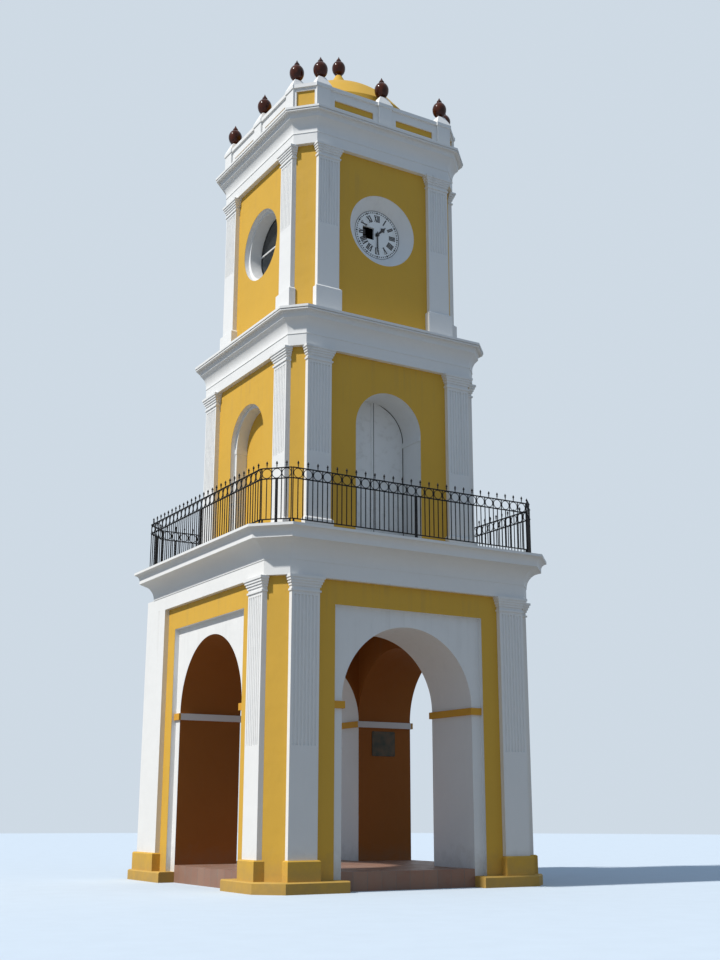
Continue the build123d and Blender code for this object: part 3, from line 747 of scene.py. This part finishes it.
def tiled(colours, tree):
    """Square tiles in two tones with sunk joints, worn dull in patches."""
    bricks = tree.nodes.new("ShaderNodeTexBrick")
    bricks.offset = 0.0
    tree.links.new(tree.nodes.new("ShaderNodeTexCoord").outputs["Object"], bricks.inputs["Vector"])
    feed_named(bricks.inputs, Scale=1.0, Brick_Width=0.3, Row_Height=0.3, Mortar_Size=0.005,
               Mortar_Smooth=0.2, Bias=0.0, Color1=colours.tile, Color2=(0.33, 0.17, 0.11, 1),
               Mortar=(0.18, 0.16, 0.14, 1))
    worn = ramp(noise(tree, 3.0, 5.0, 0.6), 0.35, 0.75, 0.0, 0.45)
    return (mix(worn, Value(tree, bricks.outputs["Color"]), (0.30, 0.26, 0.22, 1)),
            ramp(worn, 0.0, 0.45, 0.38, 0.75), Value(tree, bricks.outputs["Fac"]) * -0.003)


def glazed(colours, tree):
    """Dark glaze that pools to a lighter tone, with specks and a slightly wavy skin."""
    pooled = ramp(noise(tree, 9.0, 4.0, stretch=(1.0, 1.0, 0.4)), 0.35, 0.65)
    glaze = mix(pooled, colours.glaze, (0.085, 0.020, 0.009, 1))
    specks = ramp(noise(tree, 160.0, 2.0), 0.68, 0.74)
    return (mix(specks, glaze, (0.02, 0.008, 0.006, 1)), ramp(pooled, 0.0, 1.0, 0.14, 0.26),
            noise(tree, 18.0, 3.0) * 0.0016)


def door_wood(colours, tree):
    """Painted wood with grain, and painted shade: dark lines in the gaps between the leaves and along
    the right leaf's arched edge.

    The edge lies where sqrt(x^2 + max(z - spring, 0)^2) is half the door's width. A gap is sunk by 3 mm.
    """
    paint = use_group(tree, "brushed_paint", Colour=colours.white, Wear_Colour=WOOD_WEAR,
                      Wear=0.25, Roughness=0.32)
    x, _, z = components(tree)
    above = math_node("MAXIMUM", z - door_spring, 0.0)
    off_middle = math_node("SQRT", math_node("POWER", x, 2.0) + math_node("POWER", above, 2.0))
    off_left_leaf = ramp(x, 0.10, 0.30, 0.03, 0.0)
    off_edge = door_half - off_middle + off_left_leaf
    # Painted shade: the dark lines stand in for the shadow in the gaps, which are also sunk in the bump
    seam_shade_half, edge_shade_width = 0.010, 0.018
    off_shaded_gap = math_node("MINIMUM", abs(x - DOOR_SEAM) - seam_shade_half, off_edge - edge_shade_width)
    beyond_gap_shade = ramp(off_shaded_gap, 0.0, 0.004)
    grain = noise(tree, 12.0, 4.0, stretch=(9.0, 9.0, 0.8))
    return (mix(beyond_gap_shade, (0.045, 0.045, 0.045, 1), paint["Colour"]), paint["Roughness"],
            beyond_gap_shade * 0.003 + grain * 0.0008)


def old_glass(tree):
    """Dark glass with grime in patches, and slow waves."""
    grime = ramp(noise(tree, 3.0, 5.0, 0.65), 0.35, 0.75)
    return (mix(grime, (0.010, 0.014, 0.018, 1), (0.030, 0.034, 0.034, 1)),
            ramp(grime, 0.0, 1.0, 0.04, 0.22), noise(tree, 2.5, 1.0) * 0.002)


def patinated(tree):
    """Dark bronze with a greenish patina in patches and a fine grain."""
    patina = ramp(noise(tree, 7.0, 5.0, 0.6), 0.4, 0.7)
    return (mix(patina, (0.055, 0.038, 0.026, 1), (0.030, 0.036, 0.030, 1)),
            ramp(patina, 0.0, 1.0, 0.30, 0.55), noise(tree, 90.0, 2.0) * 0.0004)


def seen_directly(tree):
    """1 on camera, glossy and transmission rays, else 0."""
    rays = tree.nodes.new("ShaderNodeLightPath").outputs
    camera, glossy, through = (Value(tree, rays[f"Is {kind} Ray"])
                               for kind in ("Camera", "Glossy", "Transmission"))
    return math_node("MAXIMUM", math_node("MAXIMUM", camera, glossy), through)


def plain_ground(backdrop, tree):
    """The backdrop's colour where it is seen, hardly speckled; its light comes from a duller one."""
    shown = mix(1.0, backdrop, ramp(noise(tree, 2.0, 4.0), 0.3, 0.7, 0.97, 1.0), "MULTIPLY")
    duller, roughness = (0.25, 0.235, 0.21, 1), 0.9
    return mix(seen_directly(tree), duller, shown), roughness, None


def make_material(name, surface, **settings):
    """New material with a surface; the settings are values on the Principled BSDF's own sockets."""
    material = bpy.data.materials.new(name)
    material.use_nodes = True
    tree = material.node_tree
    shader = tree.nodes["Principled BSDF"].inputs
    base, roughness, height = surface(tree)
    feed_named(shader, Base_Color=base, Roughness=roughness, **settings)
    if height is not None:
        bump = tree.nodes.new("ShaderNodeBump")
        feed_named(bump.inputs, Strength=1.0, Distance=1.0, Height=height)
        tree.links.new(bump.outputs[0], shader["Normal"])
    return material


def limewashed(name, base, patchiness=0.08, streaks=0.2, splash=0.4, dust=0.3):
    """Plaster material; base is a colour, or a function that adds nodes to a tree for one.

    The others are the strengths of the limewash's effects, from 0 to 1.
    """
    def surface(tree):
        paint = base(tree) if callable(base) else base
        return use_group(tree, "limewash", Colour=paint, Patchiness=patchiness, Streaks=streaks,
                         Splash=splash, Dust=dust).values()
    return make_material(name, surface, Specular_IOR_Level=0.25)


def painted(name, base, wear_colour, wear, roughness, **settings):
    """Material of brushed paint on iron, wood or enamel, worn by a share from 0 to 1."""
    def surface(tree):
        return use_group(tree, "brushed_paint", Colour=base, Wear_Colour=wear_colour, Wear=wear,
                         Roughness=roughness).values()
    return make_material(name, surface, **settings)


def finish(material, *nodes):
    """Gives a material to nodes of the construction."""
    for name in nodes:
        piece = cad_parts[name]
        if not piece.material_slots:
            piece.data.materials.append(material)
        for slot in piece.material_slots:
            slot.material = material


class TOWER_OT_masonry(bpy.types.Operator):
    """Paint the plastered masonry of all storeys"""
    bl_idname = "clock_tower.masonry"
    bl_label = "Masonry"

    def execute(self, context):
        colours = context.scene.tower_colours
        make_plan_group()
        make_limewash_group(colours.dirt)
        ground = limewashed("ground_storey_paint", partial(ground_paint, colours), **GROUND_SOILING)
        finish(ground, "piers", *[f"arch_{side}" for side in SIDES])
        finish(limewashed("impost_paint", partial(impost_paint, colours)), "imposts")
        hall = limewashed("hall_paint", partial(hall_paint, colours), streaks=0.3)
        finish(hall, "architrave_1", "cornice_1")
        for storey, niche, sides in ((2, 0.0, SIDES[:1]), (2, NICHE_DEPTH, SIDES[1:]), (3, 0.0, SIDES)):
            base = partial(storey_paint, colours, storey, niche)
            paint = limewashed(f"storey_{storey}_{sides[0]}_paint", base, patchiness=0.12, streaks=0.25)
            finish(paint, *[f"wall_{storey}_{side}" for side in sides])
        trim = limewashed("white_trim_paint", colours.white, patchiness=0.07, streaks=0.22,
                          splash=0.3, dust=0.35)
        finish(trim, "pilasters_1", "pilasters_2", "pilasters_3", "corner_strip", "architrave_2",
               "architrave_3", "cornice_2", "parapet_coping", "pedestals", "dial_ring")
        finish(limewashed("roof_paint", partial(roof_paint, colours), streaks=0.3), "cornice_3")
        bands = []
        for storey, top in ((2, ledge_level), (3, roof_level)):
            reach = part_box(f"cornice_{storey}")[1].x - wall_half[storey]
            bands += [fillet(storey, reach + out, top + low, top + high, depth)
                      for out, low, high, depth in CORNICE_FILLETS]
        add_piece("cornice_fillets", joined(*bands), trim)
        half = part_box("parapet_wall")[1].y
        parapet = partial(parapet_paint, colours, half, span_on_face("parapet_wall", half)[1])
        finish(limewashed("parapet_paint", parapet), "parapet_wall")
        dome = limewashed("dome_paint", colours.yellow, patchiness=0.16, streaks=0.0, splash=0.0,
                          dust=0.25)
        finish(dome, "dome")
        return {"FINISHED"}


class TOWER_OT_plinths(bpy.types.Operator):
    """Set the low course, the feet of the piers and the blocks under the pilasters"""
    bl_idname = "clock_tower.plinths"
    bl_label = "Plinths"

    def execute(self, context):
        colours, sizes = context.scene.tower_colours, context.scene.tower_sizes
        paint = limewashed("plinth_paint", partial(plinth_paint, colours), **GROUND_SOILING)
        bevel, reach = sizes.block_bevel, sizes.block_reach
        wall, edge = wall_half[1], corner_edge[1]
        face, back = wall + PILASTER_DEPTH + 2 * reach, wall - PILASTER_DEPTH / 2
        inner, outer = shaft_span[0] - reach, shaft_span[1] + reach
        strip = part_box("corner_strip")[0].y - reach

        def course(square):
            return bevelled(lambda inset: pier_loop(course_reach - inset, square),
                            0.0, course_top, bevel)

        def pilaster_block(x0, x1):
            return bevelled(lambda inset: box_loop(x0 + inset, inset - face, x1 - inset, -back),
                            course_top, plinth_top, bevel)

        def strip_outline(inset):
            return box_loop(strip + inset, strip + inset, face - inset, face - inset)

        foot = [(hall_half, hall_half), (panel_face, hall_half), (panel_face, panel_half),
                (wall, panel_half), (wall, edge), (edge, wall), (panel_half, wall),
                (panel_half, panel_face), (hall_half, panel_face)]
        strip_block = bevelled(strip_outline, course_top, plinth_top, bevel)
        # Pilasters stand at the right and left ends of the sides, save at the square corner
        parts = [on_sides(course(False), (0, 2, 3)), on_sides(course(True), [SQUARE_CORNER]),
                 on_sides(extruded(foot, 2, (course_top, plinth_top)), (0, 1, 2, 3)),
                 on_sides(pilaster_block(inner, outer), (0, 1, 3)),
                 on_sides(pilaster_block(-outer, -inner), (0, 1, 2)),
                 on_sides(strip_block, [SQUARE_CORNER])]
        add_piece("plinth_masonry", joined(*parts), paint, ["plinths"])
        return {"FINISHED"}


class TOWER_OT_paving(bpy.types.Operator):
    """Lay the tiles of the paving under the arches"""
    bl_idname = "clock_tower.paving"
    bl_label = "Paving"

    def execute(self, context):
        tiles = partial(tiled, context.scene.tower_colours)
        finish(make_material("paving_tiles", tiles, Specular_IOR_Level=0.35), "ground_floor")
        return {"FINISHED"}


class TOWER_OT_railing(bpy.types.Operator):
    """Make the iron railing of the balcony, with its rings and spikes"""
    bl_idname = "clock_tower.railing"
    bl_label = "Railing"

    def execute(self, context):
        colours, sizes = context.scene.tower_colours, context.scene.tower_sizes
        make_brushed_group()
        iron = painted("black_iron", colours.iron, (0.03, 0.018, 0.012, 1), wear=0.4, roughness=0.5,
                       Specular_IOR_Level=0.15)
        low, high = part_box("railing_front")
        line = -(low.y + high.y) / 2
        mitre = sizes.rail_width * (sqrt(2) - 1) / 2
        leg = line - high.x - mitre
        rail_top = high.z - deck_level - sizes.spike_height

        def stood(panel, reach, angles):
            """Panels on the deck at a distance from the tower's axis, turned to face away from it."""
            places = [reach * np.sin(angles), -reach * np.cos(angles), np.full(len(angles), deck_level)]
            return copies(panel, np.column_stack(places), angles)

        panel = railing_panel(2 * high.x, rail_top, sizes)
        for number, side in enumerate(SIDES):
            shape = stood(panel, line, np.array([number * pi / 2]))
            add_piece(f"railing_{side}_iron", shape, iron, [f"railing_{side}"])
        corner = railing_panel(sqrt(2) * leg - 2 * mitre, rail_top, sizes)
        corners = stood(corner, (2 * line - leg) / sqrt(2), around(4) + pi / 4)
        add_piece("railing_corners_iron", corners, iron, ["railing_corners"])
        return {"FINISHED"}


class TOWER_OT_finials(bpy.types.Operator):
    """Turn the glazed finials of the parapet and the dome"""
    bl_idname = "clock_tower.finials"
    bl_label = "Finials"

    def execute(self, context):
        colours, sizes = context.scene.tower_colours, context.scene.tower_sizes
        ceramic = make_material("glazed_ceramic", partial(glazed, colours), Coat_Weight=0.2,
                                Coat_Roughness=0.04, Specular_IOR_Level=0.1)
        points = node_points("finials")
        tips = []
        for level in (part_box("pedestals")[1].z + sizes.finial_height, points[:, 2].max()):
            at_level = points[np.abs(points[:, 2] - level) < NEAR / 2]
            tips += np.unique(at_level.round(3), axis=0).tolist()
        stands = np.array(tips) - (0, 0, sizes.finial_height)
        shape = finial_shape(sizes.finial_height, sizes.finial_radius)
        add_piece("glazed_finials", copies(shape, stands), ceramic, ["finials"],
                  sharp=60.0)
        return {"FINISHED"}


class TOWER_OT_clock(bpy.types.Operator):
    """Finish the dial and the hands, and put the numerals and minute dots on the dial"""
    bl_idname = "clock_tower.clock"
    bl_label = "Clock"

    def execute(self, context):
        colours, sizes = context.scene.tower_colours, context.scene.tower_sizes
        enamel = painted("dial_enamel", colours.dial, (0.42, 0.40, 0.34, 1), wear=0.35, roughness=0.22)
        finish(enamel, "dial")
        black = painted("hand_paint", colours.iron, (0.05, 0.04, 0.035, 1), wear=0.3, roughness=0.3)
        finish(black, "minute_hand", "hour_hand", "arbor")
        marks = []
        for text, angle in zip(NUMERALS, around(len(NUMERALS))):
            letters = numeral(text, sizes.numeral_height, sizes.mark_thickness)
            marks.append(on_dial(letters, sizes.numeral_foot, angle))
        dot_line = (sizes.numeral_foot + sizes.numeral_height + dial_radius) / 2
        for minute, angle in enumerate(around(sizes.dot_count)):
            size = 1.5 if minute % 5 == 0 else 1.0
            dot = plate(disc_loop(size * sizes.dot_radius), sizes.mark_thickness)
            marks.append(on_dial(dot, dot_line, angle))
        edge = ring(dial_radius - 0.010, wire=0.006, segments=160)
        marks.append(on_dial(edge, 0.0, 0.0))
        add_piece("dial_marks", joined(*marks), black)
        return {"FINISHED"}


class TOWER_OT_openings(bpy.types.Operator):
    """Finish the balcony doors, the niches and the round windows"""
    bl_idname = "clock_tower.openings"
    bl_label = "Doors and windows"

    def execute(self, context):
        colours, sizes = context.scene.tower_colours, context.scene.tower_sizes
        wood = make_material("painted_wood", partial(door_wood, colours), Specular_IOR_Level=0.4)
        finish(wood, "door_leaf_left", "door_leaf_right")
        joinery = painted("painted_joinery", colours.white, WOOD_WEAR, wear=0.25, roughness=0.3)
        finish(joinery, "window_sashes")
        trim = bpy.data.materials["white_trim_paint"]
        self.add_door_pieces(sizes, joinery, trim)
        self.add_inner_orders(sizes, trim)
        # Level bar across each round window, between the faces of its sash
        into_sash, sash_depth = 0.02, 0.028
        half, near, far = window_radius - into_sash, window_high.y - LAP, window_high.y - sash_depth
        bar = block((-half, -near, WINDOW_BAR[0]), (half, -far, WINDOW_BAR[1]))
        add_piece("window_bars", on_sides(bar, NICHE_SIDES, window_middle), joinery)
        finish(make_material("dark_glass", old_glass, IOR=1.5, Specular_IOR_Level=0.6), "window_glass")
        return {"FINISHED"}

    def add_door_pieces(self, sizes, joinery, trim):
        """Cover strip of the doors, and small imposts in the doorway and the niches."""
        face, proud, sunk, foot_gap, head_gap = door_low.y, 0.014, 0.005, 0.01, 0.014
        strip = block((COVER_STRIP[0], face - proud, door_low.z + foot_gap),
                      (COVER_STRIP[1], face + sunk, door_high.z - head_gap))
        add_piece("door_cover_strip", strip, joinery)
        let_in, wall = 0.02, wall_half[2]
        outer = door_half + let_in
        # Name, distance of the near and the far end from the axis, sides, reach into the opening
        for name, near, far, numbers, projection in (
                ("doorway", wall - 2 * LAP, -face, (0,), 0.022),
                ("niche", wall - sizes.order_depth + 0.012, wall - NICHE_DEPTH, NICHE_SIDES,
                 sizes.order_step + 0.015)):
            inner = door_half - projection
            foot = door_spring - sizes.impost_height
            pair = joined(*[block((x0, -near, foot), (x1, SEAT - far, door_spring))
                            for x0, x1 in ((-outer, -inner), (inner, outer))])
            add_piece(f"{name}_imposts", on_sides(pair, numbers), trim)

    def add_inner_orders(self, sizes, trim):
        """Inner order, further back and narrower, in the reveals of the niches and round windows."""
        depth, step = sizes.order_depth, sizes.order_step
        niche = lining(arch_line(door_half + LAP, door_low.z, door_spring),
                       arch_line(door_half - step, door_low.z, door_spring),
                       wall_half[2] - depth, wall_half[2] - NICHE_DEPTH - SEAT)
        circle = disc_loop(1.0, sides=72)[::-1]
        window = lining(circle * (window_radius + LAP), circle * (window_radius - step),
                        wall_half[3] - depth, window_high.y - SEAT, closed=True)
        orders = joined(on_sides(niche, NICHE_SIDES), on_sides(window, NICHE_SIDES, window_middle))
        add_piece("inner_orders", orders, trim)


class TOWER_OT_plaque(bpy.types.Operator):
    """Hang the bare plate in the hall"""
    bl_idname = "clock_tower.plaque"
    bl_label = "Plaque"

    def execute(self, context):
        sizes = context.scene.tower_sizes
        width, height = sizes.plaque_width, sizes.plaque_height
        bronze = make_material("dark_bronze", patinated, Metallic=0.9)
        corner_cut, thickness, stud_inset = 0.02, 0.012, 0.035
        field_share, field_height = 0.955, 0.004
        edge = octagon_loop(width, height, corner_cut)
        field = copies(plate(edge * field_share, field_height), [(0, LAP / 2 - thickness, 0)])
        stud_profile = [(0, 0), (0.013, 0), (0.013, 0.004), (0.009, 0.010), (0, 0.012)]
        vertices, faces = turned(stud_profile, sides=16)
        stud = vertices[:, (0, 2, 1)] * (1, -1, 1), faces  # its axis laid towards the front
        across, up = width / 2 - stud_inset, height / 2 - stud_inset
        studs = copies(stud, [(x, -thickness, z) for x in (-across, across) for z in (-up, up)])
        middle = (PLAQUE_MIDDLE[0], hall_half + LAP, PLAQUE_MIDDLE[1])
        plaque = copies(joined(plate(edge, thickness), field, studs), [middle])
        add_piece("bare_plaque", plaque, bronze)
        return {"FINISHED"}


class TOWER_OT_stage(bpy.types.Operator):
    """Set the plain ground, the light and the camera"""
    bl_idname = "clock_tower.stage"
    bl_label = "Stage"

    def execute(self, context):
        backdrop = context.scene.tower_colours.backdrop
        set_ground(backdrop)
        set_light(backdrop)
        set_camera()
        context.scene.view_settings.view_transform = "Standard"
        return {"FINISHED"}


def stand(name, data):
    """Puts a new object into the scene."""
    thing = bpy.data.objects.new(name, data)
    bpy.context.scene.collection.objects.link(thing)
    return thing


def set_ground(backdrop):
    """Round pale ground: x = r cos a, y = r sin a, z = 0, for r up to 60 m."""
    rings, segments = np.array([0.0, 8.0, 20.0, 60.0]), 96
    radius, angle = rings[:, None], around(segments)[None, :]
    points = grid_points(radius * np.cos(angle), radius * np.sin(angle), radius * 0)
    mesh = bpy.data.meshes.new("stage_ground")
    mesh.from_pydata(points.tolist(), [], grid_faces(len(rings), segments, close_columns=True))
    pale = make_material("stage_ground", partial(plain_ground, backdrop), Specular_IOR_Level=0.1)
    mesh.materials.append(pale)
    ground = stand("stage_ground", mesh)


def set_light(backdrop):
    """Even sky light, and a soft sun from the left that leaves the front in the shade."""
    world = bpy.data.worlds.new("plain_sky")
    bpy.context.scene.world = world
    world.use_nodes = True
    tree = world.node_tree
    sky_light = (0.25, 0.335, 0.45, 1)
    sky = mix(seen_directly(tree), sky_light, backdrop)
    feed_named(tree.nodes["Background"].inputs, Color=sky)
    sun = bpy.data.lights.new("sun", "SUN")
    sun.energy = 3.8
    sun.angle = radians(2.5)
    sun.color = (1.0, 0.97, 0.92)
    stand("sun", sun).rotation_euler = (radians(42), 0, radians(-90.5))


def set_camera():
    """Camera at eye height in front of the tower, turned up and to the right."""
    data = bpy.data.cameras.new("camera")
    focal_length, picture_height = 1238.6, 960  # in pixels
    data.sensor_width = 36.0
    data.lens = data.sensor_width * focal_length / picture_height
    camera = stand("camera", data)
    camera.location = (-12.828, -22.471, 1.352)
    camera.rotation_euler = (radians(105.0), radians(-0.08), radians(-30.895))
    bpy.context.scene.camera = camera


class TOWER_PT_panel(bpy.types.Panel):
    """Buttons of the tower's pieces, in the order in which they are made"""
    bl_idname = "TOWER_PT_panel"
    bl_label = "Clock Tower"
    bl_space_type = "VIEW_3D"
    bl_region_type = "UI"
    bl_category = "Clock Tower"

    def draw(self, context):
        for operator in OPERATORS:
            self.layout.operator(operator.bl_idname)
        for settings in (context.scene.tower_colours, context.scene.tower_sizes):
            box = self.layout.box()
            for name in settings.__annotations__:
                box.prop(settings, name)


OPERATORS = (TOWER_OT_masonry, TOWER_OT_plinths, TOWER_OT_paving, TOWER_OT_railing, TOWER_OT_finials,
             TOWER_OT_clock, TOWER_OT_openings, TOWER_OT_plaque, TOWER_OT_stage)
CLASSES = (TowerColours, TowerSizes, *OPERATORS, TOWER_PT_panel)


def register():
    for cls in CLASSES:
        bpy.utils.register_class(cls)
    bpy.types.Scene.tower_colours = PointerProperty(type=TowerColours)
    bpy.types.Scene.tower_sizes = PointerProperty(type=TowerSizes)


def unregister():
    del bpy.types.Scene.tower_sizes
    del bpy.types.Scene.tower_colours
    for cls in reversed(CLASSES):
        bpy.utils.unregister_class(cls)


def main():
    register()
    bpy.ops.clock_tower.masonry()
    bpy.ops.clock_tower.plinths()
    bpy.ops.clock_tower.paving()
    bpy.ops.clock_tower.railing()
    bpy.ops.clock_tower.finials()
    bpy.ops.clock_tower.clock()
    bpy.ops.clock_tower.openings()
    bpy.ops.clock_tower.plaque()
    bpy.ops.clock_tower.stage()


if __name__ == "__main__":
    main()
